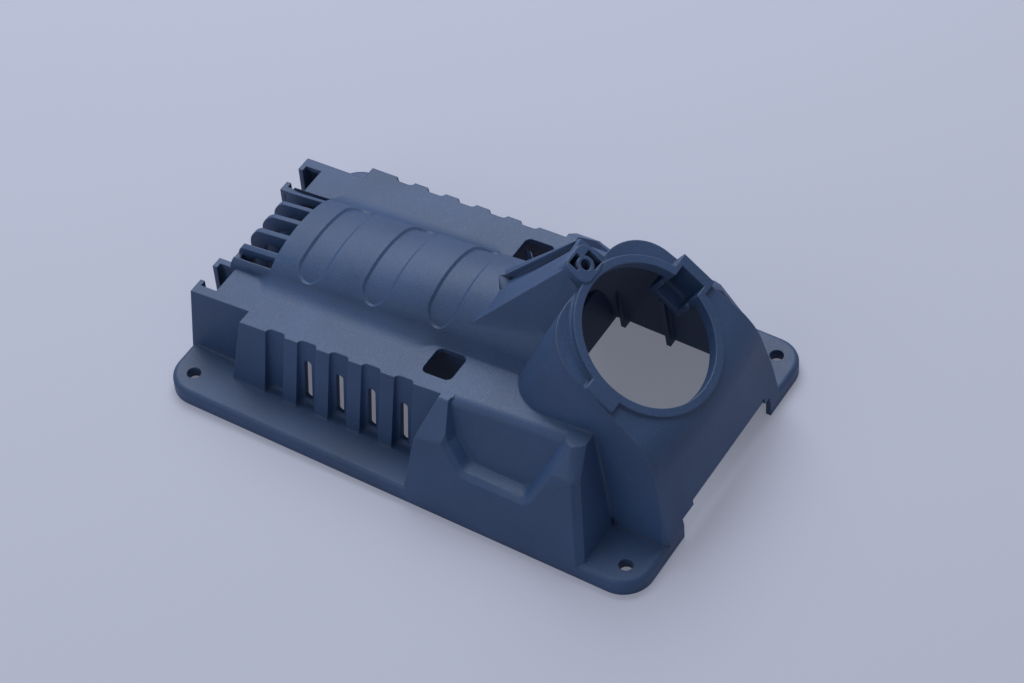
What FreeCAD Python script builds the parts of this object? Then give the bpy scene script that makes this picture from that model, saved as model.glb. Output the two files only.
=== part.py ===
import FreeCAD, Part
import math
import os
import Sketcher

# Injection moulded plastic housing, one piece, in millimetres.
# +X points to the end with the big slanted opening, +Z is up.
# The origin is the middle of the four mounting holes, on the face that sits on the mating part.

doc = FreeCAD.newDocument("moulded_housing")
sizes = doc.addObject("Spreadsheet::Sheet", "Sizes")
places = doc.addObject("Spreadsheet::Sheet", "Places")
layout = doc.addObject("Spreadsheet::Sheet", "Layout")

driving = [
    ("length", 252.8), ("width", 160.0), ("wall", 2.5),
    ("flange_top", 8.3), ("flange_plate", 3.0), ("flange_skirt", 3.0), ("flange_corner", 14.5),
    ("flange_round", 2.6),
    ("hole_inset_x", 11.4), ("hole_inset_y", 11.25), ("hole_size", 6.6), ("hole_boss", 14.0),
    ("hole_boss_foot", 2.6),
    ("deck_height", 49.2), ("deck_tilt", 4.63),
    ("body_draft", 9.4), ("rib_draft", 12.2), ("rib_left_draft", 5.5),
    ("channel_count", 5), ("channel_width", 10.0), ("channel_draft", 7.6), ("channel_round", 2.4),
    ("channel_inset", 23.4), ("channel_stop", 12.1),
    ("slit_width", 3.8), ("slit_foot", 9.8), ("slit_top", 33.0), ("slit_shift", -1.0),
    ("slit_fullness", 0.9),
    ("barrel_half", 27.7), ("barrel_tilt", 9.37), ("nose_round", 12.5),
    ("grille_pitch", 9.8), ("fin_thick", 2.4), ("fin_depth", 8.0), ("grille_half", 25.0),
    ("grille_sill", 3.6),
    ("pad_count", 3), ("pad_width", 15.6), ("pad_reach", 26.0), ("pad_depth", 1.3),
    ("pad_inset", 20.2), ("pad_stop", 19.8), ("pad_fullness", 0.96),
    ("hood_lean", 24.5), ("hood_foot", 53.8), ("hood_draft", 8.5), ("hood_corner_foot", 27.0),
    ("hood_corner_top", 22.0),
    ("ring_tilt", 35.93), ("ring_bore", 66.8), ("ring_band", 3.9), ("ring_depth", 6.0),
    ("moat_right", -8.0), ("moat_depth", 3.0), ("ring_stand", 0.25),
    ("crown_drop", 2.4), ("crown_half", 50.0), ("face_draft_middle", 6.4),
    ("face_draft_side", 13.0), ("face_round_middle", 24.0), ("face_round_side", 36.0),
    ("facet_foot", 34.2), ("facet_lean", 43.5), ("facet_left_lean", 17.7), ("facet_soft", 2.0),
    ("near_lug_left", -8.2), ("near_lug_right", 7.3), ("near_lug_reach", 42.4),
    ("far_lug_left", -9.5), ("far_lug_right", 8.8), ("far_lug_reach", 44.6),
    ("notch_left", -7.0), ("notch_right", 6.3), ("notch_reach", 39.2), ("notch_depth", 16.0),
    ("shoulder_draft", 20.6), ("shoulder_left_draft", 3.6), ("shoulder_right_draft", 13.7),
    ("shoulder_chamfer", 3.0),
    ("scoop_foot", 27.2), ("scoop_knee_z", 37.0), ("scoop_lean", 23.7), ("scoop_inner_left", 3.0),
    ("scoop_inner_right", 15.0), ("scoop_round", 6.0), ("scoop_chamfer", 2.0),
    ("scoop_soft", 6.0), ("scoop_over", 1.3),
    ("window_round", 3.0), ("window_start", 0.7),
    ("end_gap_foot", 15.0), ("end_deck_inner", 25.0), ("end_recess_foot", 11.0),
    ("mouth_top", 12.0), ("mouth_near", -37.5), ("mouth_far", 42.0), ("rebate_top", 15.6),
    ("rebate_near", -28.0), ("rebate_far", 38.0), ("rebate_depth", 2.0),
    ("boss_across", -41.2), ("boss_y", 3.4), ("boss_rise", 0.6), ("boss_left", 7.7),
    ("boss_right", 6.2), ("boss_half", 8.2), ("boss_round", 4.8), ("boss_length", 30.0),
    ("boss_bore", 5.2), ("boss_bore_depth", 14.0), ("boss_tube", 8.4), ("boss_wall", 1.4),
    ("boss_web", 1.2), ("boss_slot_depth", 9.0),
    ("ridge_lean", 25.0), ("ridge_near_left", -21.9), ("ridge_near_right", 0.0),
    ("ridge_far_left", 7.0), ("ridge_far_right", 15.8), ("groove_tip_near", 2.0),
    ("groove_tip_far", 3.0), ("groove_neck_near", -5.3), ("groove_neck_far", 4.6),
    ("groove_end_near", 7.2), ("groove_end_far", 13.0), ("ridge_cover", 10.0),
    ("inner_foot", 16.0), ("stiffener_pitch", 24.0), ("stiffener_thick", 2.2),
    ("stiffener_proud", 3.0),
    ("tool_over", 1.4),
]

# Places along X, each held as its distance from the left end or the right end
from_left = [
    ("nose_left", 8.1), ("end_left", 2.4), ("end_right", 11.1), ("grille_right", 29.9),
    ("rib_left", 28.5),
]
from_right = [
    ("datum", 126.4), ("ring_x", 36.94), ("hood_left", 112.1),
    ("shoulder_left", 119.8), ("shoulder_right", 25.3),
    ("scoop_left", 93.4), ("scoop_knee_x", 103.0), ("scoop_left_top", 115.7),
    ("scoop_right", 55.1), ("scoop_right_top", 31.1), ("body_right", 66.4),
    ("rib_right", 106.4), ("barrel_end", 64.4), ("window_left", 128.4), ("window_right", 112.9),
    ("bulkhead_x", 86.4), ("stiffener_first", 80.4), ("ridge_left", 116.4),
    ("ridge_right", 68.4), ("groove_tip", 115.4), ("groove_neck", 110.4), ("groove_end", 80.4),
]

# Places across, each held as its distance from the side, and heights above the deck
from_side = [
    ("body_foot", 25.1), ("rib_foot", 15.4), ("channel_foot", 21.2), ("window_outer", 34.1),
    ("end_outer", 36.5), ("end_gap_outer", 39.6), ("scoop_floor", 15.3), ("end_inner", 52.0),
    ("end_gap_inner", 49.2), ("window_inner", 50.0),
]
above_deck = [
    ("barrel_top", 20.8), ("ring_z", 27.37), ("hood_reach", 60.8),
    ("ridge_near_top_left", 13.7), ("ridge_near_top_right", 60.6), ("ridge_far_top_left", 20.9),
    ("ridge_far_top_right", 63.5), ("groove_tip_floor", 20.8), ("groove_neck_floor", 21.3),
    ("groove_end_floor", 46.8),
]
for row, (word, value) in enumerate(driving + from_left + from_right + from_side + above_deck, start=1):
    sizes.set("A%d" % row, word)
    sizes.set("B%d" % row, str(value))
    sizes.setAlias("B%d" % row, word)
doc.recompute()
worked = [(word, "-Sizes.length / 2 + Sizes." + word) for word, value in from_left]
worked += [(word, "Sizes.length / 2 - Sizes." + word) for word, value in from_right]
worked += [(word, "Sizes.width / 2 - Sizes." + word) for word, value in from_side]
worked += [(word, "Sizes.deck_height + Sizes." + word) for word, value in above_deck]
worked += [
    ("hole_x", "Sizes.length / 2 - Sizes.hole_inset_x"), ("hole_y", "Sizes.width / 2 - Sizes.hole_inset_y"),
    ("channel_first", "rib_left + Sizes.channel_inset"),
    ("channel_pitch", "(shoulder_left - Sizes.channel_stop - channel_first) / (Sizes.channel_count - 1)"),
    ("pad_first", "grille_right + Sizes.pad_inset"),
    ("pad_pitch", "(hood_left - Sizes.pad_stop - pad_first) / (Sizes.pad_count - 1)"),
]
for row, (word, rule) in enumerate(worked, start=1):
    places.set("A%d" % row, word)
    places.set("B%d" % row, "=" + rule)
    places.setAlias("B%d" % row, word)
    places.recompute()
doc.recompute()


def size(word):
    """The plain number of one driving dimension."""
    return float(sizes.get(word))


layout_rows = {}


def worked_out(expression):
    """The value that an expression of driving dimensions has now."""
    text = str(expression)
    if text not in layout_rows:
        row = len(layout_rows) + 1
        layout.set("A%d" % row, "=" + text)
        layout_rows[text] = row
        layout.recompute()
    return float(layout.get("A%d" % layout_rows[text]))


def bind(piece, **bindings):
    """Bind properties of a piece; two underscores in a name stand for a dot."""
    for name, expression in bindings.items():
        piece.setExpression(name.replace("__", "."), str(expression))
    return piece


turns = {
    "XY": FreeCAD.Rotation(0, 0, 0, 1),
    "XZ": FreeCAD.Rotation(FreeCAD.Vector(1, 0, 0), 90),
    "YZ": FreeCAD.Rotation(FreeCAD.Vector(1, 1, 1), 120),
}


def outline(name, plane, corners, offset="0"):
    """A closed sketch through corners, each (across, up) or (across, up, radius)."""
    sketch = doc.addObject("Sketcher::SketchObject", name)
    sketch.Placement = FreeCAD.Placement(FreeCAD.Vector(0, 0, 0), turns[plane])
    axis = {"XY": "z", "XZ": "y", "YZ": "x"}[plane]
    sketch.setExpression("Placement.Base." + axis, offset)
    spots = [FreeCAD.Vector(worked_out(c[0]), worked_out(c[1]), 0) for c in corners]
    radii = [worked_out(c[2]) if len(c) > 2 else 0 for c in corners]
    count = len(corners)
    starts, ends = [], []
    for i in range(count):
        here = spots[i]
        before = (spots[i - 1] - here).normalize()
        after = (spots[(i + 1) % count] - here).normalize()
        half = before.getAngle(after) / 2
        reach = radii[i] / math.tan(half) if radii[i] else 0
        ends.append(here + before * reach)
        starts.append(here + after * reach)
    for i in range(count):
        sketch.addGeometry(Part.LineSegment(starts[i], ends[(i + 1) % count]))
    rounds = {}
    for i in range(count):
        if radii[i]:
            here = spots[i]
            inward = (spots[i - 1] - here).normalize() + (spots[(i + 1) % count] - here).normalize()
            inward.normalize()
            half = (spots[i - 1] - here).getAngle(inward)
            middle = here + inward * (radii[i] / math.sin(half) - radii[i])
            rounds[i] = sketch.addGeometry(Part.Arc(ends[i], middle, starts[i]))
    marks = [sketch.addGeometry(Part.Point(p), True) for p in spots]
    for i in range(count):
        line_in = (i - 1) % count
        if i in rounds:
            arc = rounds[i]
            gap_start = sketch.getPoint(arc, 1).distanceToPoint(ends[i])
            first, last = (1, 2) if gap_start < 1e-6 else (2, 1)
            sketch.addConstraint(Sketcher.Constraint("Tangent", line_in, 2, arc, first))
            sketch.addConstraint(Sketcher.Constraint("Tangent", arc, last, i, 1))
            sketch.addConstraint(Sketcher.Constraint("PointOnObject", marks[i], 1, line_in))
            sketch.addConstraint(Sketcher.Constraint("PointOnObject", marks[i], 1, i))
            held = sketch.addConstraint(Sketcher.Constraint("Radius", arc, radii[i]))
            sketch.setExpression("Constraints[%d]" % held, str(corners[i][2]))
        else:
            sketch.addConstraint(Sketcher.Constraint("Coincident", line_in, 2, marks[i], 1))
            sketch.addConstraint(Sketcher.Constraint("Coincident", i, 1, marks[i], 1))
        for kind, value, share in (("DistanceX", spots[i].x, 0), ("DistanceY", spots[i].y, 1)):
            held = sketch.addConstraint(Sketcher.Constraint(kind, -1, 1, marks[i], 1, value))
            sketch.setExpression("Constraints[%d]" % held, str(corners[i][share]))
    return sketch


def pull(name, sketch, forward, backward="0"):
    """A solid drawn out of a sketch along its normal, both ways if asked."""
    solid = doc.addObject("Part::Extrusion", name)
    solid.Base = sketch
    solid.DirMode = "Normal"
    solid.Solid = True
    bind(solid, LengthFwd=forward, LengthRev=backward)
    return solid


def block(name, x0, x1, y0, y1, z0, z1):
    """A plain box between six faces."""
    box = doc.addObject("Part::Box", name)
    bind(box, Length="(%s) - (%s)" % (x1, x0), Width="(%s) - (%s)" % (y1, y0),
         Height="(%s) - (%s)" % (z1, z0),
         Placement__Base__x=x0, Placement__Base__y=y0, Placement__Base__z=z0)
    return box


def post(name, x, y, z0, z1, diameter):
    """A round post or hole standing along Z."""
    rod = doc.addObject("Part::Cylinder", name)
    bind(rod, Radius="(%s) / 2" % diameter, Height="(%s) - (%s)" % (z1, z0),
         Placement__Base__x=x, Placement__Base__y=y, Placement__Base__z=z0)
    return rod


def join(name, pieces):
    together = doc.addObject("Part::MultiFuse", name)
    together.Shapes = pieces
    return together


def overlap(name, pieces):
    shared = doc.addObject("Part::MultiCommon", name)
    shared.Shapes = pieces
    return shared


def take(name, base, tool):
    rest = doc.addObject("Part::Cut", name)
    rest.Base = base
    rest.Tool = tool
    return rest


def mirrored(name, piece):
    """The same piece on the other long side."""
    twin = doc.addObject("Part::Mirroring", name)
    twin.Source = piece
    twin.Normal = FreeCAD.Vector(0, 1, 0)
    return twin


def rounded(name, piece, radius, picked, kind="Part::Fillet"):
    """Round (or chamfer) the edges of a piece that a test picks."""
    doc.recompute()
    eased = doc.addObject(kind, name)
    eased.Base = piece
    value = worked_out(radius)
    eased.Edges = [(i, value, value) for i, edge in enumerate(piece.Shape.Edges, start=1) if picked(edge)]
    return eased


def middle(edge):
    first, last = edge.ParameterRange
    return edge.valueAt((first + last) / 2)


# Heights of the sloping deck and the barrel's top line at a place along X
def deck_at(x, inset):
    return "Sizes.deck_height + ((%s) - Places.datum) * tan(Sizes.deck_tilt) - (%s)" % (x, inset)


def barrel_at(x, inset):
    return "Places.barrel_top + ((%s) - Places.datum) * tan(Sizes.barrel_tilt) - (%s)" % (x, inset)


def half_at(foot, draft, z, inset):
    return "%s - (%s) * tan(%s) - (%s)" % (foot, z, draft, inset)


touch = 0.02
over_deck = "(Sizes.deck_height * Sizes.tool_over)"
scoop_high = "(Sizes.deck_height * Sizes.scoop_over)"
half_length = "Sizes.length / 2"
half_width = "Sizes.width / 2"
base_low = "-Sizes.flange_top"
above = "Places.hood_reach"


def drafted(name, foot, draft, inset, z0, z1, x0, x1, low="0"):
    """A prism along X whose two sides lean in by the draft, from low to z1."""
    low_half = half_at(foot, draft, low, inset)
    top_half = half_at(foot, draft, z1, inset)
    corners = [("-(%s)" % low_half, z0), (low_half, z0)]
    if low != z0:
        corners.append((low_half, low))
    corners.append((top_half, z1))
    corners.append(("-(%s)" % top_half, z1))
    if low != z0:
        corners.append(("-(%s)" % low_half, low))
    return pull(name, outline(name + "_outline", "YZ", corners, x0), "(%s) - (%s)" % (x1, x0))


def main_form(tag, inset, foot, right_end, side):
    """The low body with its ribbed sides, drawn in by the inset: the outside, or the hollow."""
    left = "-%s + (%s)" % (half_length, inset)
    right = "%s - (%s)" % (half_length, inset)
    deck = pull(tag + "_deck", outline(tag + "_deck_outline", "XZ", [
        (left, foot), (right, foot),
        (right, deck_at(right, inset)), (left, deck_at(left, inset))], "Sizes.width"),
        "2 * Sizes.width")
    body = drafted(tag + "_body", "Places.body_foot", "Sizes.body_draft", inset, foot,
                   over_deck, left, right_end)
    ribs_side = drafted(tag + "_ribs_side", "Places.%s_foot" % side, "Sizes.%s_draft" % side, inset,
                        foot, over_deck, "Places.rib_left", "Places.rib_right")
    rib_left = "Places.rib_left + (%s)" % inset
    ribs_end = pull(tag + "_ribs_end", outline(tag + "_ribs_end_outline", "XZ", [
        (rib_left, foot), ("Places.rib_right", foot), ("Places.rib_right", above),
        ("%s + %s * tan(Sizes.rib_left_draft)" % (rib_left, above), above)], "Sizes.width"),
        "2 * Sizes.width")
    sides = [body, overlap(tag + "_ribs", [ribs_side, ribs_end])]
    if side == "channel":
        core_right = "Places.channel_first - Sizes.channel_width / 2 - Sizes.wall"
        core = drafted("wide_rib_core", "Places.rib_foot", "Sizes.rib_draft", inset, foot,
                       over_deck, "Places.rib_left", core_right)
        sides.append(overlap("wide_rib_hollow", [core, ribs_end]))
    return overlap(tag + "_low", [join(tag + "_low_sides", sides), deck])


def barrel(tag, inset):
    """The tapering half-round barrel: two ellipses lofted, rounded down at its left end."""
    ends = []
    for word, x in (("left", "-%s" % half_length), ("right", "Places.barrel_end")):
        ring = doc.addObject("Part::Ellipse", "%s_%s" % (tag, word))
        ring.Placement = FreeCAD.Placement(FreeCAD.Vector(0, 0, 0), turns["YZ"])
        bind(ring, MajorRadius="Sizes.barrel_half - (%s)" % inset,
             MinorRadius="(%s) - (%s)" % (barrel_at(x, inset), deck_at(x, "0")),
             Placement__Base__x=x, Placement__Base__z=deck_at(x, "0"))
        ends.append(ring)
    loft = doc.addObject("Part::Loft", tag + "_loft")
    loft.Sections = ends
    loft.Solid = True
    loft.Ruled = True
    left = "Places.nose_left + (%s)" % inset
    nose = pull(tag + "_nose", outline(tag + "_nose_outline", "XZ", [
        (left, "Sizes.end_recess_foot"), ("Places.barrel_end", "Sizes.end_recess_foot"),
        ("Places.barrel_end", barrel_at("Places.barrel_end", "(%s) - 1" % inset)),
        (left, barrel_at(left, "(%s) - 0.4" % inset), "Sizes.nose_round - (%s)" % inset)],
        "Sizes.width"), "2 * Sizes.width")
    return overlap(tag, [loft, nose])


def slant(tag, inset):
    """Everything under the slanted, slightly crowned end face: three side views lofted."""
    views = []
    left = "Places.hood_left - Sizes.flange_corner"
    foot_x = "%s - (%s)" % (half_length, inset)
    base = "Places.ring_z + Places.ring_x * tan(Sizes.ring_tilt)"
    for word, y, drop, kind in (("near", "-Sizes.crown_half", "Sizes.crown_drop", "side"),
                                ("mid", "0", "Sizes.ring_stand", "middle"),
                                ("far", "Sizes.crown_half", "Sizes.crown_drop", "side")):
        lean = "tan(Sizes.face_draft_%s)" % kind
        fall = "tan(Sizes.ring_tilt)"
        high = "(%s - ((%s) + (%s)) / cos(Sizes.ring_tilt))" % (base, drop, inset)
        corner_x = "((%s + Sizes.flange_top * %s - %s * %s) / (1 - %s * %s))" % (
            foot_x, lean, high, lean, lean, fall)
        corner_z = "%s - %s * %s" % (high, corner_x, fall)
        views.append(outline("%s_%s" % (tag, word), "XZ", [
            (left, "-Sizes.flange_top"), (foot_x, "-Sizes.flange_top"),
            (foot_x, "Sizes.flange_top"),
            (corner_x, corner_z, "Sizes.face_round_%s - (%s)" % (kind, inset)),
            (left, "%s - (%s) * %s" % (high, left, fall))], y))
    loft = doc.addObject("Part::Loft", tag)
    loft.Sections = views
    loft.Solid = True
    loft.Ruled = False
    return loft


def hood(tag, inset, foot):
    """The hood round the opening: leaning walls with corners that grow downwards."""
    views = []
    for word, z, corner in (("low", foot, "Sizes.hood_corner_foot"),
                            ("high", above, "Sizes.hood_corner_top")):
        left = "Places.hood_left + (%s) * tan(Sizes.hood_lean) + (%s)" % (z, inset)
        side = half_at("Sizes.hood_foot", "Sizes.hood_draft", z, inset)
        views.append(outline("%s_%s" % (tag, word), "XY", [
            (left, "-(%s)" % side, "%s - (%s)" % (corner, inset)),
            (half_length + " + Sizes.wall", "-(%s)" % side),
            (half_length + " + Sizes.wall", side),
            (left, side, "%s - (%s)" % (corner, inset))], z))
    loft = doc.addObject("Part::Loft", tag + "_walls")
    loft.Sections = views
    loft.Solid = True
    loft.Ruled = True
    form = overlap(tag + "_form", [loft, slant(tag + "_slant", inset)])
    return take(tag, form, ring_block(tag + "_moat", "-Places.ring_x", "Sizes.moat_right",
                                      "-" + half_width, half_width,
                                      "-Sizes.moat_depth - (%s)" % inset, above))


def on_ring(piece, across="0", y="0", rise="0"):
    """Seat a piece in the slanted plane of the opening: across runs downhill, rise stands off it."""
    tilt = "Sizes.ring_tilt"
    piece.Placement = FreeCAD.Placement(FreeCAD.Vector(0, 0, 0),
                                        FreeCAD.Rotation(FreeCAD.Vector(0, 1, 0), size("ring_tilt")))
    bind(piece, Placement__Rotation__Angle=tilt,
         Placement__Base__x="Places.ring_x + (%s) * cos(%s) + (%s) * sin(%s)" % (across, tilt, rise, tilt),
         Placement__Base__y=y,
         Placement__Base__z="Places.ring_z - (%s) * sin(%s) + (%s) * cos(%s)" % (across, tilt, rise, tilt))
    return piece


def ring_block(name, s0, s1, y0, y1, rise0, rise1):
    """A box square to the slanted plane of the opening."""
    box = doc.addObject("Part::Box", name)
    bind(box, Length="(%s) - (%s)" % (s1, s0), Width="(%s) - (%s)" % (y1, y0),
         Height="(%s) - (%s)" % (rise1, rise0))
    return on_ring(box, s0, y0, rise0)


def ring_post(name, across, y, rise0, rise1, diameter):
    """A round post or hole square to the slanted plane of the opening."""
    rod = doc.addObject("Part::Cylinder", name)
    bind(rod, Radius="(%s) / 2" % diameter, Height="(%s) - (%s)" % (rise1, rise0))
    return on_ring(rod, across, y, rise0)


def shoulder(tag, inset, foot):
    """The shoulder block on the near side: side view and end view pulled and overlapped."""
    outer_foot = "%s - (%s)" % (half_width, inset)
    high = over_deck
    lean = "tan(Sizes.shoulder_draft)"
    end = pull(tag + "_end", outline(tag + "_end_outline", "YZ", [
        ("-Places.window_inner", foot), ("-(%s)" % outer_foot, foot),
        ("-(%s)" % outer_foot, "Sizes.flange_top"),
        ("-(%s - (%s - Sizes.flange_top) * %s)" % (outer_foot, high, lean), high),
        ("-Places.window_inner", high)], "-Sizes.length"), "2 * Sizes.length")
    left = "Places.shoulder_left + (%s)" % inset
    right = "Places.shoulder_right - (%s)" % inset
    knee = "Sizes.facet_foot"
    knee_left = "%s + %s * tan(Sizes.shoulder_left_draft)" % (left, knee)
    side = pull(tag + "_side", outline(tag + "_side_outline", "XZ", [
        ("%s + (%s) * tan(Sizes.shoulder_left_draft)" % (left, foot), foot),
        ("%s - (%s) * tan(Sizes.shoulder_right_draft)" % (right, foot), foot),
        ("%s - %s * tan(Sizes.shoulder_right_draft)" % (right, high), high),
        ("%s + (%s - %s) * tan(Sizes.facet_left_lean)" % (knee_left, high, knee), high),
        (knee_left, knee)], "Sizes.width"), "2 * Sizes.width")
    deck = pull(tag + "_top", outline(tag + "_top_outline", "XZ", [
        ("-Sizes.wall", foot), (half_length, foot),
        (half_length, deck_at(half_length, inset)), ("-Sizes.wall", deck_at("-Sizes.wall", inset))],
        "Sizes.width"), "2 * Sizes.width")
    knee_y = "-(%s - (%s - Sizes.flange_top) * %s)" % (half_width, knee, lean)
    knee_y = "%s + (%s) / cos(Sizes.facet_lean)" % (knee_y, inset)
    shift = "Sizes.wall"
    facet = outline(tag + "_facet_outline", "YZ", [
        ("%s - %s * tan(Sizes.facet_lean)" % (knee_y, shift), "%s - %s" % (knee, shift)),
        ("%s + (%s - %s) * tan(Sizes.facet_lean)" % (knee_y, high, knee), high),
        ("-Sizes.width", high), ("-Sizes.width", "%s - %s" % (knee, shift))])
    bind(facet, Placement__Base__x="Places.datum")
    slope = doc.addObject("Part::Extrusion", tag + "_facet")
    slope.Base = facet
    slope.DirMode = "Custom"
    slope.Solid = True
    bind(slope, Dir__x="1", Dir__y="0", Dir__z="tan(Sizes.deck_tilt)", LengthFwd=half_length)
    return take(tag, overlap(tag + "_block", [end, side, deck]), slope)


def scoop(tag, grow):
    """The pocket in the shoulder's outer wall, grown by the wall for the inside."""
    views = []
    far_y = "-%s - Sizes.wall" % half_width
    near_y = "-Places.window_outer"
    for word, y, left, right in (
            ("mouth", far_y, "0", "0"),
            ("floor", near_y, "Sizes.scoop_inner_left", "Sizes.scoop_inner_right")):
        views.append(outline("%s_%s" % (tag, word), "XZ", [
            ("Places.scoop_left + %s - (%s)" % (left, grow), "Sizes.scoop_foot - (%s)" % grow,
             "Sizes.scoop_round"),
            ("Places.scoop_right - %s + (%s)" % (right, grow), "Sizes.scoop_foot - (%s)" % grow,
             "Sizes.scoop_round"),
            ("Places.scoop_right_top - %s + (%s)" % (right, grow), scoop_high),
            ("Places.scoop_left_top + %s - (%s)" % (left, grow), scoop_high),
            ("Places.scoop_knee_x + %s - (%s)" % (left, grow), "Sizes.scoop_knee_z",
             "Sizes.scoop_round")], y))
    loft = doc.addObject("Part::Loft", tag + "_loft")
    loft.Sections = views
    loft.Solid = True
    loft.Ruled = True
    back = pull(tag + "_back", outline(tag + "_back_outline", "YZ", [
        ("-%s" % half_width, "Sizes.scoop_foot - (%s)" % grow),
        ("-Places.scoop_floor + (%s)" % grow, "Sizes.scoop_foot - (%s)" % grow),
        ("-Places.scoop_floor + (%s) + (%s - Sizes.scoop_foot) * tan(Sizes.scoop_lean)"
         % (grow, scoop_high), scoop_high),
        ("-%s - Sizes.wall" % half_width, scoop_high),
        ("-%s - Sizes.wall" % half_width, "Sizes.scoop_foot - (%s)" % grow)][1:], "0"), "Sizes.length")
    return overlap(tag, [loft, back])


def slope_of(word):
    return math.tan(math.radians(size(word)))


def on_outer_wall(point):
    wall_y = size("width") / 2 - (point.z - size("flange_top")) * slope_of("shoulder_draft")
    return abs(point.y + wall_y) < touch


def on_facet(point):
    knee = size("facet_foot")
    knee_y = size("width") / 2 - (knee - size("flange_top")) * slope_of("shoulder_draft")
    rise = point.z - knee - (point.x - worked_out("Places.datum")) * slope_of("deck_tilt")
    return abs(point.y + knee_y - rise * slope_of("facet_lean")) < touch


def on_deck(point):
    rise = (point.x - worked_out("Places.datum")) * slope_of("deck_tilt")
    return abs(point.z - size("deck_height") - rise) < touch


def on_right_wall(point):
    wall_x = worked_out("Places.shoulder_right") - point.z * slope_of("shoulder_right_draft")
    return abs(point.x - wall_x) < touch


def on_scoop_back(point):
    back_y = worked_out("Places.scoop_floor") - (point.z - size("scoop_foot")) * slope_of("scoop_lean")
    return abs(point.y + back_y) < touch


def block_corner(edge):
    """The edges where the shoulder's outer wall and facet meet its right wall."""
    point = middle(edge)
    return on_right_wall(point) and on_outer_wall(point) != on_facet(point) and not on_deck(point)


def mouth_edge(edge):
    """The pocket's mouth along its foot and its right side."""
    point = middle(edge)
    inside = worked_out("Places.scoop_left") + size("scoop_round") < point.x
    inside = inside and not on_right_wall(point) and point.z > size("scoop_foot") - touch
    return inside and on_outer_wall(point) != on_facet(point) and not on_deck(point)


def eased_shoulder():
    """The shoulder block with its pocket, its corner and mouth chamfered and its top edges rounded."""
    form = rounded("shoulder_corner", shoulder("shoulder_form", "0", "0"), "Sizes.shoulder_chamfer",
                   block_corner, "Part::Chamfer")
    form = take("shoulder_cut", form, scoop("scoop", "0"))
    form = rounded("scoop_mouth", form, "Sizes.scoop_chamfer", mouth_edge, "Part::Chamfer")
    form = rounded("scoop_back_edge", form, "Sizes.scoop_soft",
                   lambda e: on_deck(middle(e)) and on_scoop_back(middle(e)))
    return rounded("facet_top", form, "Sizes.facet_soft",
                   lambda e: on_deck(middle(e)) and on_facet(middle(e)))


def slot_rows(count, first, pitch):
    """Places of evenly spaced copies, as expressions."""
    return ["%s + %d * %s" % (first, i, pitch) for i in range(count)]


def pads(body):
    """Shallow round-ended pads sunk across the barrel."""
    kept = barrel("pad_floor", "Sizes.pad_depth")
    shapes = []
    half = "Sizes.pad_width / 2"
    for i, x in enumerate(slot_rows(int(size("pad_count")), "Places.pad_first", "Places.pad_pitch")):
        view = outline("pad_outline_%d" % i, "XY", [
            ("%s - %s" % (x, half), "-Sizes.pad_reach", half + " * Sizes.pad_fullness"),
            ("%s + %s" % (x, half), "-Sizes.pad_reach", half + " * Sizes.pad_fullness"),
            ("%s + %s" % (x, half), "Sizes.pad_reach", half + " * Sizes.pad_fullness"),
            ("%s - %s" % (x, half), "Sizes.pad_reach", half + " * Sizes.pad_fullness")],
            "Sizes.deck_height / 2")
        shapes.append(pull("pad_%d" % i, view, "Places.hood_reach / 2"))
    return take("barrel_with_pads", body, take("pad_cut", join("pad_shapes", shapes), kept))


def upright(edge):
    low, high = sorted(vertex.Z for vertex in edge.Vertexes)
    return high - low > size("flange_top")


def channels():
    """Upright channels in the near side, with a leaning back and rounded inner corners."""
    cuts = []
    lean = "tan(Sizes.channel_draft)"
    high = over_deck
    spots = slot_rows(int(size("channel_count")), "Places.channel_first", "Places.channel_pitch")
    for i, x in enumerate(spots):
        view = outline("channel_outline_%d" % i, "YZ", [
            ("-(Places.channel_foot - Sizes.flange_top * %s)" % lean, "Sizes.flange_top"),
            ("-%s" % half_width, "Sizes.flange_top"), ("-%s" % half_width, high),
            ("-(Places.channel_foot - %s * %s)" % (high, lean), high)],
            "%s - Sizes.channel_width / 2" % x)
        prism = pull("channel_%d" % i, view, "Sizes.channel_width")
        back = worked_out("Places.channel_foot")
        cuts.append(rounded("channel_round_%d" % i, prism, "Sizes.channel_round",
                            lambda e: upright(e) and abs(middle(e).y) < back))
    return join("channel_cuts", cuts)


def slits():
    """Upright round-ended slits through the backs of all channels but the first."""
    cuts = []
    half = "Sizes.slit_width / 2"
    spots = slot_rows(int(size("channel_count")), "Places.channel_first", "Places.channel_pitch")
    for i, x in enumerate(spots[1:]):
        centre = "%s + Sizes.slit_shift" % x
        view = outline("slit_outline_%d" % i, "XZ", [
            ("%s - %s" % (centre, half), "Sizes.slit_foot", half + " * Sizes.slit_fullness"),
            ("%s + %s" % (centre, half), "Sizes.slit_foot", half + " * Sizes.slit_fullness"),
            ("%s + %s" % (centre, half), "Sizes.slit_top", half + " * Sizes.slit_fullness"),
            ("%s - %s" % (centre, half), "Sizes.slit_top", half + " * Sizes.slit_fullness")],
            "-Sizes.barrel_half")
        cuts.append(pull("slit_%d" % i, view, "%s - Sizes.barrel_half" % half_width))
    return join("slit_cuts", cuts)


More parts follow.
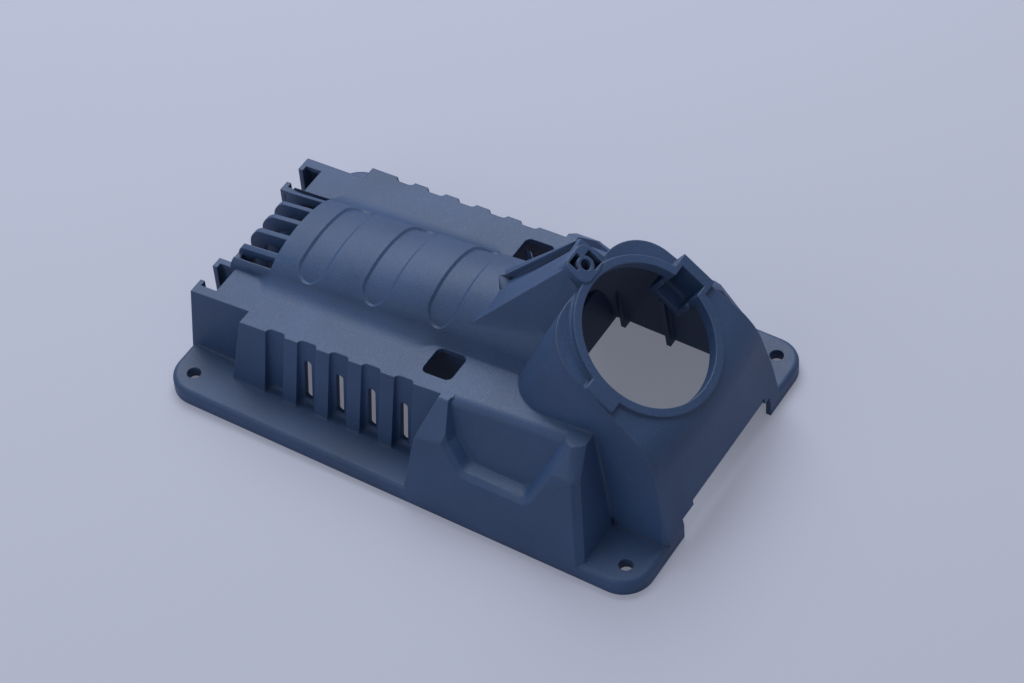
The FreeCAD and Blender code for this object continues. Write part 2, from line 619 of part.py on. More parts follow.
def windows():
    """The two windows in the deck beside the barrel and the pockets at the left end."""
    middle_window = pull("window", outline("window_outline", "XY", [
        ("Places.window_left", "-Places.window_outer", "Sizes.window_round"),
        ("Places.window_right", "-Places.window_outer", "Sizes.window_round"),
        ("Places.window_right", "-Places.window_inner", "Sizes.window_round"),
        ("Places.window_left", "-Places.window_inner", "Sizes.window_round")],
        "Sizes.deck_height * Sizes.window_start"), "Sizes.deck_height")
    end_hole = block("end_hole", "Places.end_left", "Places.end_right", "-Places.end_outer",
                     "-Places.end_inner", "Sizes.end_gap_foot", "Sizes.deck_height")
    end_gap = block("end_gap", "-Sizes.length", "Places.end_left + Sizes.wall", "-Places.end_gap_outer",
                    "-Places.end_gap_inner", "Sizes.end_gap_foot", "Sizes.deck_height")
    return join("deck_cuts", [middle_window, end_hole, end_gap])


def grille():
    """Slots over the barrel's rounded left end, five fins between them."""
    cuts = []
    pitch = "Sizes.grille_pitch"
    half_fin = "Sizes.fin_thick / 2"
    for i in range(-3, 3):
        y0 = "%d * %s + %s" % (i, pitch, half_fin)
        y1 = "%d * %s - %s" % (i + 1, pitch, half_fin)
        if i == -3:
            y0 = "-Sizes.grille_half"
        if i == 2:
            y1 = "Sizes.grille_half"
        sill = deck_at("Places.nose_left", "0")
        foot = "%s + Sizes.grille_sill" % sill if i in (-3, 2) else "Sizes.end_gap_foot"
        view = outline("slot_outline_%d" % (i + 3), "XZ", [
            ("-Sizes.length", foot), ("Places.grille_right", foot),
            ("Places.grille_right", "Places.barrel_top"), ("-Sizes.length", "Places.barrel_top")], y1)
        cuts.append(pull("slot_%d" % (i + 3), view, "(%s) - (%s)" % (y1, y0)))
    return join("grille_cuts", cuts)


def fins(body):
    """The five fins: plates deeper than the wall that follow the nose and stand on the end sill."""
    inner = "Places.nose_left + Sizes.fin_depth"
    core = pull("fin_core", outline("fin_core_outline", "XZ", [
        (inner, base_low), ("Places.barrel_end", base_low),
        ("Places.barrel_end", barrel_at("Places.barrel_end", "Sizes.fin_depth")),
        (inner, barrel_at(inner, "Sizes.fin_depth"), "Sizes.nose_round - Sizes.fin_depth")],
        "Sizes.width"), "2 * Sizes.width")
    front = block("fin_front", "Places.nose_left", inner, "-Sizes.barrel_half", "Sizes.barrel_half",
                  "Sizes.end_recess_foot - Sizes.wall", deck_at("Places.nose_left", "0"))
    plates = []
    for i in range(-2, 3):
        plates.append(block("fin_plate_%d" % (i + 2), "Places.nose_left", "Places.grille_right + Sizes.wall",
                            "%d * Sizes.grille_pitch - Sizes.fin_thick / 2" % i,
                            "%d * Sizes.grille_pitch + Sizes.fin_thick / 2" % i,
                            base_low, "Places.barrel_top"))
    form = join("fin_form", [body, front])
    return take("fins", overlap("fin_blanks", [join("fin_plates", plates), form]), core)


# The outside of the housing, still solid
flange_slab = pull("flange_slab", outline("flange_outline", "XY", [
    ("-" + half_length, "-" + half_width, "Sizes.flange_corner"),
    (half_length, "-" + half_width, "Sizes.flange_corner"),
    (half_length, half_width, "Sizes.flange_corner"),
    ("-" + half_length, half_width, "Sizes.flange_corner")], "0"), "Sizes.flange_top")
flange = rounded("flange", flange_slab, "Sizes.flange_round",
                 lambda e: abs(middle(e).z - size("flange_top")) < touch)
low_outside = main_form("outer", "0", "0", "Places.body_right", "rib")
plain_barrel = barrel("outer_barrel", "0")
outer_barrel = pads(plain_barrel)
outer_hood = hood("outer_hood", "0", "0")
near_shoulder = eased_shoulder()
ring_size = "Sizes.ring_bore + 2 * Sizes.ring_band"
ring = ring_post("ring", "0", "0", "-Sizes.ring_depth", "0", ring_size)
near_lug = ring_block("near_lug", "Sizes.near_lug_left", "Sizes.near_lug_right",
                      "-Sizes.near_lug_reach", "-Sizes.ring_bore / 2", "-Sizes.ring_depth", "0")
far_lug = ring_block("far_lug", "Sizes.far_lug_left", "Sizes.far_lug_right",
                     "Sizes.ring_bore / 2", "Sizes.far_lug_reach", "-Sizes.notch_depth", "0")


def boss_form():
    """The screw boss at the hood's top edge: a rounded block hanging straight down from its face."""
    left = "-Sizes.boss_left"
    right = "Sizes.boss_right"
    side = "Sizes.boss_half"
    face = outline("boss_outline", "XY", [
        (left, "-" + side, "Sizes.boss_round"), (right, "-" + side, "Sizes.boss_round"),
        (right, side, "Sizes.boss_round"), (left, side, "Sizes.boss_round")])
    on_ring(face, "Sizes.boss_across", "Sizes.boss_y", "Sizes.boss_rise")
    column = doc.addObject("Part::Extrusion", "boss_column")
    column.Base = face
    column.DirMode = "Custom"
    column.Dir = FreeCAD.Vector(0, 0, -1)
    column.Solid = True
    bind(column, LengthFwd="Sizes.boss_length")
    return join("boss", [column, pull("boss_head", face, "0", "Sizes.boss_bore_depth")])


def boss_cuts():
    """The boss's screw hole and the two pockets that curve round its tube."""
    bore = ring_post("boss_bore", "Sizes.boss_across", "Sizes.boss_y", "-Sizes.boss_bore_depth",
                     "Sizes.boss_rise + Sizes.wall", "Sizes.boss_bore")
    left = "Sizes.boss_across - Sizes.boss_left + Sizes.boss_wall"
    far = "Sizes.boss_y + Sizes.boss_half - Sizes.boss_wall"
    top = "Sizes.boss_rise + Sizes.wall"
    pockets = join("boss_pocket_blanks", [
        ring_block("boss_pocket_far", "Sizes.boss_across - Sizes.boss_tube / 2 + Sizes.boss_web",
                   "Sizes.boss_across + Sizes.boss_right - Sizes.boss_wall",
                   "Sizes.boss_y + Sizes.boss_web", far, "-Sizes.boss_slot_depth", top),
        ring_block("boss_pocket_left", left, "Sizes.boss_across - Sizes.boss_web",
                   "Sizes.boss_y - Sizes.boss_half + 2 * Sizes.boss_wall",
                   "Sizes.boss_y + Sizes.boss_web", "-Sizes.boss_slot_depth", top)])
    tube = ring_post("boss_tube", "Sizes.boss_across", "Sizes.boss_y",
                     "-Sizes.boss_slot_depth - Sizes.wall", "Sizes.boss_rise + 2 * Sizes.wall",
                     "Sizes.boss_tube")
    return join("boss_cuts", [bore, take("boss_pockets", pockets, tube)])


def ridge(tag, inset, cover):
    """The wedge that climbs from the barrel to the boss: steep near side, top tilted to the near side."""
    views = []
    for word in ("left", "right"):
        near = "Sizes.ridge_near_%s + (%s)" % (word, inset)
        far = "Sizes.ridge_far_%s - (%s)" % (word, inset)
        near_top = "Places.ridge_near_top_%s - (%s)" % (word, cover)
        far_top = "Places.ridge_far_top_%s - (%s)" % (word, cover)
        low = "Sizes.deck_height"
        foot = "%s - (%s - %s) * tan(Sizes.ridge_lean)" % (near, near_top, low)
        views.append(outline("%s_%s" % (tag, word), "YZ", [
            (foot, low), (far, low), (far, far_top), (near, near_top)], "Places.ridge_" + word))
    loft = doc.addObject("Part::Loft", tag + "_wedge")
    loft.Sections = views
    loft.Solid = True
    loft.Ruled = True
    limit = ring_block(tag + "_limit", "-" + above, "0", "-" + half_width, half_width,
                       "-" + above, "-Sizes.moat_depth - (%s)" % inset)
    return overlap(tag, [loft, limit])


def groove():
    """The open groove along the ridge, pointed at its lower end."""
    views = []
    for word in ("tip", "neck", "end"):
        near = "Sizes.groove_%s_near" % word
        far = "Sizes.groove_%s_far" % word
        floor = "Places.groove_%s_floor" % word
        views.append(outline("groove_" + word, "YZ", [
            (near, floor), (far, floor), (far, above), (near, above)], "Places.groove_" + word))
    loft = doc.addObject("Part::Loft", "groove")
    loft.Sections = views
    loft.Solid = True
    loft.Ruled = True
    return loft


boss = boss_form()
outer_ridge = ridge("outer_ridge", "0", "0")
solid_form = join("solid_form", [
    flange, low_outside, outer_barrel, outer_hood, near_shoulder,
    mirrored("far_shoulder", near_shoulder), ring, near_lug, far_lug, boss, outer_ridge])

# The hollow inside it, one wall in
inner_low = main_form("inner", "Sizes.wall", base_low, "Places.bulkhead_x", "channel")
inner_barrel = barrel("inner_barrel", "Sizes.wall")
inner_hood = hood("inner_hood", "Sizes.wall", base_low)
inner_ridge = ridge("inner_ridge", "Sizes.wall", "Sizes.ridge_cover")
hood_side = drafted("hood_side", "Sizes.hood_foot", "Sizes.hood_draft", "0", "Sizes.inner_foot",
                    "Places.ring_z", "Places.bulkhead_x", half_length, "Sizes.inner_foot")
shoulder_skin = join("shoulder_skin", [scoop("scoop_skin", "Sizes.wall"), hood_side])
shoulder_hollow = take("shoulder_hollow", shoulder("shoulder_inner", "Sizes.wall", base_low),
                       shoulder_skin)
flange_hollow = pull("flange_hollow", outline("flange_hollow_outline", "XY", [
    ("-(%s - Sizes.flange_skirt)" % half_length, "-(%s - Sizes.flange_skirt)" % half_width,
     "Sizes.flange_corner - Sizes.flange_skirt"),
    ("%s - Sizes.flange_skirt" % half_length, "-(%s - Sizes.flange_skirt)" % half_width,
     "Sizes.flange_corner - Sizes.flange_skirt"),
    ("%s - Sizes.flange_skirt" % half_length, "%s - Sizes.flange_skirt" % half_width,
     "Sizes.flange_corner - Sizes.flange_skirt"),
    ("-(%s - Sizes.flange_skirt)" % half_length, "%s - Sizes.flange_skirt" % half_width,
     "Sizes.flange_corner - Sizes.flange_skirt")], base_low),
    "2 * Sizes.flange_top - Sizes.flange_plate")
hollow = join("hollow", [inner_low, inner_barrel, inner_hood, inner_ridge, shoulder_hollow,
                         mirrored("far_shoulder_hollow", shoulder_hollow), flange_hollow])
shell = take("shell", solid_form, hollow)

# What stands inside the shell: sleeve, notch box, bulkhead, stiffeners, fins, screw bosses
sleeve = ring_post("sleeve", "0", "0", "-Sizes.ring_depth", "0", ring_size)
notch_box = ring_block("notch_box", "Sizes.far_lug_left", "Sizes.far_lug_right",
                       "Sizes.ring_bore / 2 - Sizes.wall", "Sizes.notch_reach + Sizes.wall",
                       "-Sizes.notch_depth - Sizes.wall", "-Sizes.wall")
lanes = [block("lane_wall_%s" % word, "Places.end_left", "Places.bulkhead_x", y0, y1,
               "Sizes.inner_foot", over_deck)
         for word, y0, y1 in (("near", "-Sizes.barrel_half", "Sizes.wall - Sizes.barrel_half"),
                              ("far", "Sizes.barrel_half - Sizes.wall", "Sizes.barrel_half"))]
lanes = [overlap("lane_walls", [join("lane_blanks", lanes), low_outside])]
lanes.append(block("end_sill", "Places.end_left - Sizes.wall / 2", "Places.nose_left + Sizes.fin_depth",
                   "-Sizes.barrel_half", "Sizes.barrel_half", "Sizes.end_recess_foot - Sizes.wall",
                   "Sizes.end_recess_foot"))
bulkhead = block("bulkhead_blank", "Places.bulkhead_x", "Places.bulkhead_x + Sizes.wall",
                 "-Sizes.hood_foot", "Sizes.hood_foot", "Sizes.inner_foot", "Sizes.deck_height")
bulkhead = overlap("bulkhead", [bulkhead, drafted(
    "bulkhead_sides", "Sizes.hood_foot", "Sizes.hood_draft", "Sizes.wall / 2", "0", "Places.ring_z",
    "0", half_length)])
stiffeners = []
for i in range(2):
    x = "Places.stiffener_first + %d * Sizes.stiffener_pitch" % i
    for word, y0, y1 in (("far", "0", "Sizes.hood_foot"), ("near", "-Sizes.hood_foot", "0")):
        plate = block("stiffener_%s_%d_blank" % (word, i), x, x + " + Sizes.stiffener_thick",
                      y0, y1, "Sizes.inner_foot - Sizes.wall", "Sizes.deck_height")
        stiffeners.append(plate)
stiffener_sides = take("stiffener_sides",
                       drafted("stiffener_outer", "Sizes.hood_foot", "Sizes.hood_draft", "Sizes.wall / 2",
                               "0", "Places.ring_z", "0", half_length),
                       drafted("stiffener_inner", "Sizes.hood_foot", "Sizes.hood_draft",
                               "Sizes.wall + Sizes.stiffener_proud", base_low, "Places.hood_reach",
                               "-Sizes.wall", "Sizes.length", base_low))
stiffener_set = overlap("stiffeners", [join("stiffener_plates", stiffeners), stiffener_sides])
screw_bosses, screw_holes = [], []
for i, (sx, sy) in enumerate(((-1, -1), (1, -1), (1, 1), (-1, 1))):
    x = "%d * Places.hole_x" % sx
    y = "%d * Places.hole_y" % sy
    screw_bosses.append(post("screw_boss_%d" % i, x, y, "Sizes.hole_boss_foot",
                             "Sizes.flange_top - Sizes.flange_plate / 2", "Sizes.hole_boss"))
    screw_holes.append(post("screw_hole_%d" % i, x, y, base_low, "2 * Sizes.flange_top",
                            "Sizes.hole_size"))
with_inside = join("with_inside",
                   [shell, sleeve, notch_box, bulkhead, stiffener_set] + lanes + screw_bosses)

# Everything that is cut through the walls
near_deck_cuts = windows()
near_cuts = join("near_cuts", [channels(), slits(), near_deck_cuts])
bore = ring_post("bore", "0", "0", "-Sizes.ring_depth - Sizes.wall", "4 * Sizes.wall", "Sizes.ring_bore")
notch = ring_block("notch", "Sizes.notch_left", "Sizes.notch_right", "Sizes.ring_bore / 2 - 2 * Sizes.wall",
                   "Sizes.notch_reach", "-Sizes.notch_depth", "4 * Sizes.wall")
mouth = block("mouth", half_length + " - 4 * Sizes.wall", half_length + " + Sizes.wall",
              "Sizes.mouth_near", "Sizes.mouth_far", "-Sizes.wall", "Sizes.mouth_top")
rebate = block("rebate", half_length + " - Sizes.rebate_depth", half_length + " + Sizes.wall",
               "Sizes.rebate_near", "Sizes.rebate_far", "Sizes.mouth_top - Sizes.wall",
               "Sizes.rebate_top")
end_recess = block("end_recess", "-Sizes.length", "Places.nose_left", "-Sizes.end_deck_inner",
                   "Sizes.end_deck_inner", "Sizes.end_recess_foot", "Places.hood_reach")
all_cuts = join("all_cuts", [
    near_cuts, mirrored("far_cuts", near_cuts), bore, notch, mouth, rebate, end_recess, grille(),
    groove(), boss_cuts()] + screw_holes)
cut_shell = take("cut_shell", with_inside, all_cuts)
housing = join("housing_whole", [cut_shell, fins(plain_barrel)])
housing.Label = "housing"
doc.recompute()

for piece in doc.Objects:
    if "Invalid" in piece.State or "Error" in piece.State:
        raise SystemExit("%s did not build: %s" % (piece.Name, piece.State))
shape = housing.Shape
if shape.isNull() or not shape.isValid():
    raise SystemExit("the housing has no valid shape")
box = shape.optimalBoundingBox() if hasattr(shape, "optimalBoundingBox") else shape.BoundBox
print("solids", len(shape.Solids), "faces", len(shape.Faces), "volume", round(shape.Volume))
print([round(v, 2) for v in (box.XMin, box.XMax, box.YMin, box.YMax, box.ZMin, box.ZMax)])
for solid in shape.Solids:
    print("  solid", round(solid.Volume, 1), [round(v, 1) for v in solid.CenterOfMass])
os.makedirs("parts", exist_ok=True)
shape.exportStep("parts/%s.step" % housing.Label)
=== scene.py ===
import math

import bmesh
import bpy
from mathutils import Matrix, Vector


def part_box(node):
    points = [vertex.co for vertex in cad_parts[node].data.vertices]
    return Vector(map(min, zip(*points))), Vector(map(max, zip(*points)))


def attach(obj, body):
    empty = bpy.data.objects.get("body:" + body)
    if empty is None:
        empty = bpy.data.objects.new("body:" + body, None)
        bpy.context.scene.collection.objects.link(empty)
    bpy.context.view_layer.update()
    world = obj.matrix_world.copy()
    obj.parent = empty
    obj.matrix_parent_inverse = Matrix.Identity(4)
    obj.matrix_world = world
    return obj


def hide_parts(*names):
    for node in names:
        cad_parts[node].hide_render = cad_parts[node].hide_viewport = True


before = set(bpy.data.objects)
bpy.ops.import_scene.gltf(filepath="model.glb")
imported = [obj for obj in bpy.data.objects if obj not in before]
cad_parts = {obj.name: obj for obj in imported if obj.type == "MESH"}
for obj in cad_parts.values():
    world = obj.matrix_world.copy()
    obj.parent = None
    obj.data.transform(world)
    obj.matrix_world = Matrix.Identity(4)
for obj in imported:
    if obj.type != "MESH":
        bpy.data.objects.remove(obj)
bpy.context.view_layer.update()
scene = bpy.context.scene
print("frame loaded")

# Where the photograph was taken from, in metres and degrees
photoView = {
    "azimuth": 35.017,
    "elevation": 48.316,
    "roll": 4.83,
    "distance": 1.50889,
    "target": (-0.00027, 0.02407, 0.0),
    "lens": 114.09,
    "sensor": 36.0,
    "farClip": 20.0,
}


def aimedCamera(view):
    azimuth = math.radians(view["azimuth"])
    elevation = math.radians(view["elevation"])
    back = Vector((
        math.sin(azimuth) * math.cos(elevation),
        -math.cos(azimuth) * math.cos(elevation),
        math.sin(elevation),
    ))
    right = Vector((math.cos(azimuth), math.sin(azimuth), 0.0))
    up = back.cross(right)
    turn = Matrix((right, up, back)).transposed().to_4x4()
    roll = Matrix.Rotation(-math.radians(view["roll"]), 4, "Z")
    data = bpy.data.cameras.new("photoCamera")
    data.lens = view["lens"]
    data.sensor_width = view["sensor"]
    data.clip_end = view["farClip"]
    camera = bpy.data.objects.new("photoCamera", data)
    camera.matrix_world = Matrix.Translation(Vector(view["target"]) + back * view["distance"]) @ turn @ roll
    scene.collection.objects.link(camera)
    scene.camera = camera


aimedCamera(photoView)
print("camera placed")

# The moulded plastic: dark navy, a fine eroded texture, a soft satin sheen
plastic = {
    "deep": (0.022, 0.053, 0.132, 1.0),
    "light": (0.031, 0.073, 0.180, 1.0),
    "cloudScale": 24.0,
    "cloudDetail": 3.0,
    "cloudRange": (0.3, 0.7),
    "fleck": (0.058, 0.110, 0.235, 1.0),
    "fleckShare": 0.6,
    "fleckRange": (0.56, 0.72),
    "grainScale": 1300.0,
    "grainDetail": 2.0,
    "grainRoughness": 0.6,
    "grainDepth": 0.00016,
    "grainStrength": 0.7,
    "drawScale": 260.0,      # fine marks along the way the part left its mould
    "drawDetail": 4.0,
    "drawStretch": (1.0, 1.0, 0.05),
    "drawDepth": 0.00005,
    "drawStrength": 0.4,
    "rough": (0.45, 0.62),
    "roughRange": (0.3, 0.7),
    "ior": 1.5,
    "edgeRadius": 0.0008,
    "creaseRadius": 0.0048,
    "creaseReach": 0.009,
    "creaseOcclusion": (0.35, 0.75),
    "cornerSamples": 8,
    # painted edge highlight: a paler colour on convex edges, and the masks that place it
    "paintedHighlight": (0.095, 0.135, 0.235, 1.0),
    "paintedHighlightShare": 0.55,
    "paintedHighlightBend": (0.985, 0.86),
    "paintedHighlightOcclusion": (0.7, 0.95),
}


def nodeChain(material):
    material.use_nodes = True
    tree = material.node_tree
    tree.nodes.clear()

    def add(kind, **sockets):
        node = tree.nodes.new(kind)
        for name, value in sockets.items():
            socket = node.inputs[name.replace("_", " ")]
            if isinstance(value, bpy.types.NodeSocket):
                tree.links.new(value, socket)
            else:
                socket.default_value = value
        return node

    return tree, add


def rampNode(add, source, span, lowColour, highColour):
    ramp = add("ShaderNodeValToRGB", Fac=source)
    for stop, place, colour in zip(ramp.color_ramp.elements, span, (lowColour, highColour)):
        stop.position = place
        stop.color = colour
    return ramp.outputs["Color"]


def rangeNode(add, source, span, low=0.0, high=1.0):
    spread = add("ShaderNodeMapRange", Value=source, From_Min=span[0], From_Max=span[1],
                 To_Min=low, To_Max=high)
    return spread.outputs["Result"]


def mathNode(tree, operation, first, second):
    node = tree.nodes.new("ShaderNodeMath")
    node.operation = operation
    for socket, value in zip(node.inputs, (first, second)):
        if isinstance(value, bpy.types.NodeSocket):
            tree.links.new(value, socket)
        else:
            socket.default_value = value
    return node.outputs["Value"]


def grey(level):
    return (level, level, level, 1.0)


def mixColour(add, share, first, second):
    mix = add("ShaderNodeMixRGB", Fac=share, Color1=first, Color2=second)
    return mix.outputs["Color"]


def plasticMaterial(look):
    material = bpy.data.materials.new("navyPlastic")
    tree, add = nodeChain(material)
    place = add("ShaderNodeTexCoord").outputs["Object"]
    cloud = add("ShaderNodeTexNoise", Vector=place, Scale=look["cloudScale"], Detail=look["cloudDetail"])
    grain = add("ShaderNodeTexNoise", Vector=place, Scale=look["grainScale"], Detail=look["grainDetail"],
                Roughness=look["grainRoughness"])
    drawn = add("ShaderNodeMapping", Vector=place, Scale=look["drawStretch"])
    marks = add("ShaderNodeTexNoise", Vector=drawn.outputs["Vector"], Scale=look["drawScale"],
                Detail=look["drawDetail"])

    # Inner corners are rounder than outer edges
    corner = add("ShaderNodeAmbientOcclusion", Distance=look["creaseReach"])
    corner.samples = look["cornerSamples"]
    reach = rangeNode(add, corner.outputs["AO"], look["creaseOcclusion"],
                      look["creaseRadius"], look["edgeRadius"])
    soft = add("ShaderNodeBevel", Radius=reach)
    soft.samples = look["cornerSamples"]

    # Convex edges and corners made a little paler: a painted edge highlight
    straight = add("ShaderNodeNewGeometry").outputs["Normal"]
    bend = tree.nodes.new("ShaderNodeVectorMath")
    bend.operation = "DOT_PRODUCT"
    tree.links.new(straight, bend.inputs[0])
    tree.links.new(soft.outputs["Normal"], bend.inputs[1])
    edge = rangeNode(add, bend.outputs["Value"], look["paintedHighlightBend"], high=look["paintedHighlightShare"])
    outer = rangeNode(add, corner.outputs["AO"], look["paintedHighlightOcclusion"])
    highlightMask = mathNode(tree, "MULTIPLY", edge, outer)

    body = rampNode(add, cloud.outputs["Fac"], look["cloudRange"], look["deep"], look["light"])
    specks = rampNode(add, grain.outputs["Fac"], look["fleckRange"], grey(0.0), grey(look["fleckShare"]))
    flecked = mixColour(add, specks, body, look["fleck"])
    # mixes in the painted edge highlight on convex edges
    colour = mixColour(add, highlightMask, flecked, look["paintedHighlight"])
    rough = rampNode(add, grain.outputs["Fac"], look["roughRange"],
                     grey(look["rough"][0]), grey(look["rough"][1]))
    fine = add("ShaderNodeBump", Height=grain.outputs["Fac"], Distance=look["grainDepth"],
               Strength=look["grainStrength"], Normal=soft.outputs["Normal"])
    drawBump = add("ShaderNodeBump", Height=marks.outputs["Fac"], Distance=look["drawDepth"],
                   Strength=look["drawStrength"], Normal=fine.outputs["Normal"])
    shader = add("ShaderNodeBsdfPrincipled", Base_Color=colour, Roughness=rough, IOR=look["ior"],
                 Normal=drawBump.outputs["Normal"])
    add("ShaderNodeOutputMaterial", Surface=shader.outputs["BSDF"])
    return material


navyPlastic = plasticMaterial(plastic)
print("plastic mixed")

# The hood's two sides: they keep their draft down to the flange and meet it
hood = {
    "half": 0.050,           # they stand upright here below the draft
    "foot": 0.0538,
    "draft": 8.5,
    "start": 0.085,
    "flangeTop": 0.0083,
    "slotTop": 0.0091,
    "sink": 0.0001,
    "near": 0.00004,
}


def hoodFeet(skin, look):
    lean = math.tan(math.radians(look["draft"]))
    top = (look["foot"] - look["half"]) / lean
    for vert in skin.verts:
        x, y, z = vert.co
        upright = abs(abs(y) - look["half"]) < look["near"] and x > look["start"]
        if upright and look["flangeTop"] + look["sink"] < z < top:
            if z < look["slotTop"]:
                vert.co.z = look["flangeTop"] - look["sink"]
            vert.co.y = math.copysign(look["foot"] - vert.co.z * lean, y)


# The barrel is half an ellipse over the sloping deck, and rises faster than the deck does
barrel = {
    "deckHeight": 0.0492,
    "deckTilt": 4.63,
    "half": 0.0277,
    "rise": 0.0208,
    "tilt": 9.37,
}


def deckAndRise(look, x):
    slope = math.tan(math.radians(look["deckTilt"]))
    climb = math.tan(math.radians(look["tilt"])) - slope
    return look["deckHeight"] + x * slope, look["rise"] + x * climb


# The three pads sunk across the barrel: the rim of the floor draws in, so that the walls slope
pad = {
    "middles": (-0.0763, -0.0409, -0.0055),
    "half": 0.0078,
    "reach": 0.0260,
    "depth": 0.0013,
    "slope": 0.0014,
    "near": 0.012,
    "margin": 0.0001,
}


def padWalls(skin, look):
    half = barrel["half"] - look["depth"]
    for vert in skin.verts:
        x, y, z = vert.co
        middle = min(look["middles"], key=lambda place: abs(place - x))
        if abs(x - middle) > look["half"] + look["margin"] or abs(y) > look["reach"] + look["margin"]:
            continue
        deck, rise = deckAndRise(barrel, x)
        fullness = (y / half) ** 2 + ((z - deck) / (rise - look["depth"])) ** 2
        if z < deck or abs(fullness - 1.0) > look["near"]:
            continue
        x = middle + (x - middle) * (1.0 - look["slope"] / look["half"])
        y = y * (1.0 - look["slope"] / look["reach"])
        deck, rise = deckAndRise(barrel, x)
        vert.co = (x, y, deck + (rise - look["depth"]) * math.sqrt(1.0 - (y / half) ** 2))


# The groove on the ridge: its floor runs out at the tip, on the barrel
groove = {
    "tip": 0.011,
    "neck": 0.016,
    "floor": 0.070,
    "climb": 0.1,
    "half": 0.0056,
    "lift": 0.00168,
    "near": 0.00006,
    "margin": 0.00001,
}


def grooveTip(skin, look):
    for vert in skin.verts:
        x, y, z = vert.co
        floor = look["floor"] + (x - look["tip"]) * look["climb"]
        within = look["tip"] - look["margin"] < x < look["neck"] and abs(y) < look["half"]
        if within and abs(z - floor) < look["near"]:
            vert.co.z += look["lift"] * (look["neck"] - x) / (look["neck"] - look["tip"])


# The soft valleys where the barrel runs out into the deck
valley = {
    "left": -0.104,
    "runOut": 0.010,
    "stations": 60,
    "steps": 10,
    "hoodLeft": 0.0155,
    "hoodLean": 24.5,
    "hoodShare": 0.25,       # the part of its length that bends to the hood's lean
    "leave": 20.0,           # degrees round the barrel, just below the pads
    "leaveThin": 4.0,
    "meet": 0.037,           # where the valley meets the deck
    "meetThin": 0.0286,
    "windowLeft": -0.0034,
    "windowMeet": 0.0299,
    "windowEase": 0.009,
    "sink": (0.000009, 0.00003),
    "bury": (0.0012, 0.0018),
}


def eased(share):
    share = min(max(share, 0.0), 1.0)
    return share * share * (3.0 - 2.0 * share)


def between(low, high, share):
    return low + (high - low) * share


def valleyPoint(look, x, share):
    deck, rise = deckAndRise(barrel, x)
    full = eased((x - look["left"]) / look["runOut"])
    clear = eased((look["windowLeft"] - x) / look["windowEase"])
    angle = math.radians(between(look["leaveThin"], look["leave"], full))
    meet = between(look["meetThin"], between(look["windowMeet"], look["meet"], clear), full)
    leave = Vector((barrel["half"] * math.cos(angle), rise * math.sin(angle)))
    corner = leave.x + leave.y * barrel["half"] * math.tan(angle) / rise
    out = leave * (1.0 - share) ** 2
    out += Vector((corner, 0.0)) * 2.0 * share * (1.0 - share)
    out += Vector((meet, 0.0)) * share ** 2
    out -= Vector(look["sink"])
    return Vector((x, out.x, deck + out.y))


def barrelValleys(look):
    # Two sheets bent to the valleys, each given a foot inside the wall
    lean = math.tan(math.radians(look["hoodLean"]))
    right = look["hoodLeft"] + barrel["deckHeight"] * lean
    flat = bmesh.new()
    for side in (-1.0, 1.0):
        sheet = bmesh.ops.create_grid(
            flat, x_segments=look["stations"], y_segments=look["steps"], size=0.5)["verts"]
        for vert in sheet:
            along = vert.co.x + 0.5
            share = vert.co.y + 0.5
            atHood = eased((along - 1.0 + look["hoodShare"]) / look["hoodShare"])
            point = valleyPoint(look, between(look["left"], right, along), share)
            point.x += (look["hoodLeft"] + point.z * lean - right) * atHood
            point.y *= side
            vert.co = point
        faces = list({face for vert in sheet for face in vert.link_faces})
        deep = bmesh.ops.extrude_face_region(flat, geom=faces)["geom"]
        sunk = [part for part in deep if isinstance(part, bmesh.types.BMVert)]
        bmesh.ops.translate(flat, verts=sunk, vec=(0.0, -side * look["bury"][0], -look["bury"][1]))
        closed = list({face for vert in sheet + sunk for face in vert.link_faces})
        bmesh.ops.recalc_face_normals(flat, faces=closed)
    mesh = bpy.data.meshes.new("barrelValleys")
    flat.to_mesh(mesh)
    flat.free()
    piece = bpy.data.objects.new("barrelValleys", mesh)
    scene.collection.objects.link(piece)
    return piece


def joined(piece, other):
    # One skin from both, worked out here so that no cutter stays behind
    union = piece.modifiers.new("union", "BOOLEAN")
    union.operation = "UNION"
    union.solver = "EXACT"
    union.object = other
    settled = piece.evaluated_get(bpy.context.evaluated_depsgraph_get())
    mesh = bpy.data.meshes.new_from_object(settled)
    piece.modifiers.remove(union)
    bpy.data.objects.remove(other)
    piece.data = mesh


# The housing: a merged copy of the CAD skin, its curves shaded smooth and its creases kept
shell = {
    "weld": 0.000004,
    "crease": 26.0,
}


def dressedHousing(look):
    skin = bmesh.new()
    skin.from_mesh(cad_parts["housing"].data)
    bmesh.ops.remove_doubles(skin, verts=skin.verts, dist=look["weld"])
    hoodFeet(skin, hood)
    padWalls(skin, pad)
    grooveTip(skin, groove)
    mesh = bpy.data.meshes.new("housingSkin")
    skin.to_mesh(mesh)
    piece = bpy.data.objects.new("housingSkin", mesh)
    scene.collection.objects.link(piece)
    joined(piece, barrelValleys(valley))
    skin.clear()
    skin.from_mesh(piece.data)
    for face in skin.faces:
        face.smooth = True
    for edge in skin.edges:
        edge.smooth = edge.calc_face_angle(math.pi) < math.radians(look["crease"])
    print("valleys joined, open edges", sum(1 for edge in skin.edges if len(edge.link_faces) != 2))
    skin.to_mesh(piece.data)
    skin.free()
    piece.data.materials.append(navyPlastic)
    even = piece.modifiers.new("even", "WEIGHTED_NORMAL")
    even.keep_sharp = True
    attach(piece, "root")
    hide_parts("housing")
    return piece


housingSkin = dressedHousing(shell)
print("housing dressed", len(housingSkin.data.polygons))

# Floor and light
studio = {
    "floor": (0.478, 0.505, 0.625, 1.0),
    "shown": 0.30,           # the share of the floor's own colour in what is seen of it
    "floorSize": 12.0,
    "world": (0.93, 0.95, 1.0, 1.0),
    "worldStrength": 0.30,
}

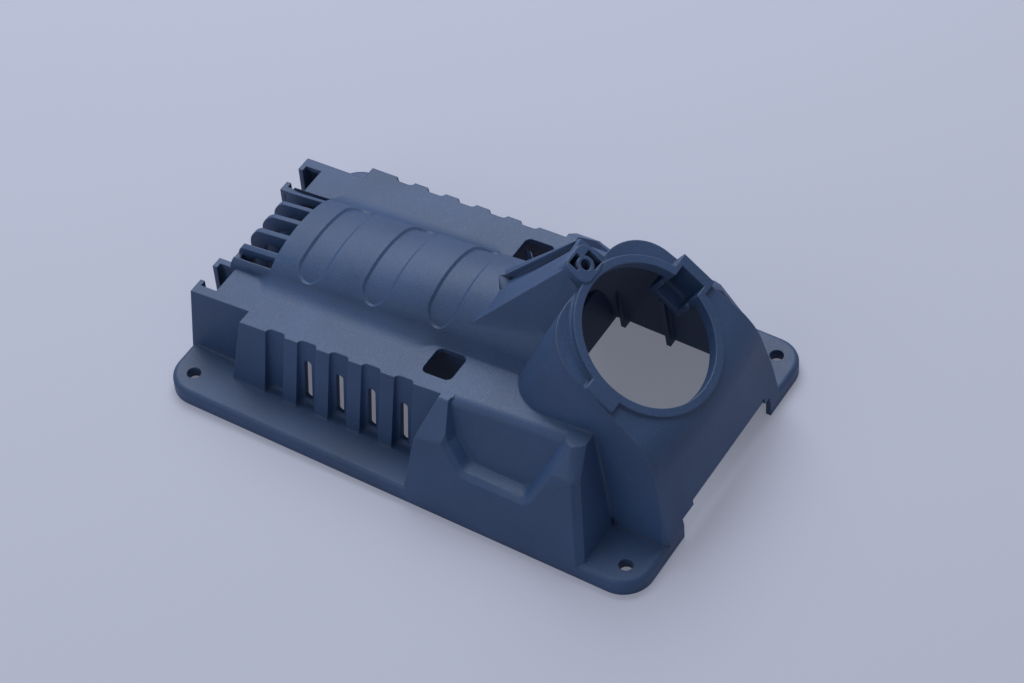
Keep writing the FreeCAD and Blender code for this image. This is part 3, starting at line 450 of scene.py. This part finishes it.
lamps = {
    "topSoftbox": {"place": (-0.60, 0.80, 1.40), "size": 1.4, "power": 26.0, "colour": (0.95, 0.97, 1.0)},
    "frontFill": {"place": (-0.5, -1.4, 1.0), "size": 1.4, "power": 5.0, "colour": (0.95, 0.97, 1.0)},
}


def seenShare(tree, seen, share):
    # The camera, a reflection or a clear piece sees the floor's own colour
    total = seen.outputs["Is Camera Ray"]
    for kind in ("Is Glossy Ray", "Is Transmission Ray"):
        total = mathNode(tree, "MAXIMUM", total, seen.outputs[kind])
    return mathNode(tree, "MULTIPLY", total, share)


def floorPiece(look):
    flat = bmesh.new()
    bmesh.ops.create_grid(flat, x_segments=1, y_segments=1, size=look["floorSize"] / 2)
    bmesh.ops.translate(flat, verts=flat.verts, vec=(0.0, 0.0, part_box("housing")[0][2]))
    mesh = bpy.data.meshes.new("floor")
    flat.to_mesh(mesh)
    flat.free()
    piece = bpy.data.objects.new("floor", mesh)
    scene.collection.objects.link(piece)
    material = bpy.data.materials.new("paleFloor")
    tree, add = nodeChain(material)
    matt = add("ShaderNodeBsdfDiffuse", Color=look["floor"])
    glow = add("ShaderNodeEmission", Color=look["floor"], Strength=1.0)
    own = seenShare(tree, add("ShaderNodeLightPath"), look["shown"])
    both = tree.nodes.new("ShaderNodeMixShader")
    tree.links.new(own, both.inputs[0])
    tree.links.new(matt.outputs["BSDF"], both.inputs[1])
    tree.links.new(glow.outputs["Emission"], both.inputs[2])
    add("ShaderNodeOutputMaterial", Surface=both.outputs["Shader"])
    mesh.materials.append(material)
    return piece


def softLight(name, look):
    data = bpy.data.lights.new(name, "AREA")
    data.size = look["size"]
    data.energy = look["power"]
    data.color = look["colour"]
    lamp = bpy.data.objects.new(name, data)
    place = Vector(look["place"])
    lamp.matrix_world = Matrix.Translation(place) @ place.to_track_quat("Z", "Y").to_matrix().to_4x4()
    scene.collection.objects.link(lamp)


floorPiece(studio)
for lampName, lampLook in lamps.items():
    softLight(lampName, lampLook)
world = bpy.data.worlds.new("studio")
scene.world = world
world.use_nodes = True
backdrop = world.node_tree.nodes["Background"]
backdrop.inputs["Color"].default_value = studio["world"]
backdrop.inputs["Strength"].default_value = studio["worldStrength"]
scene.view_settings.view_transform = "Standard"
print("studio lit")
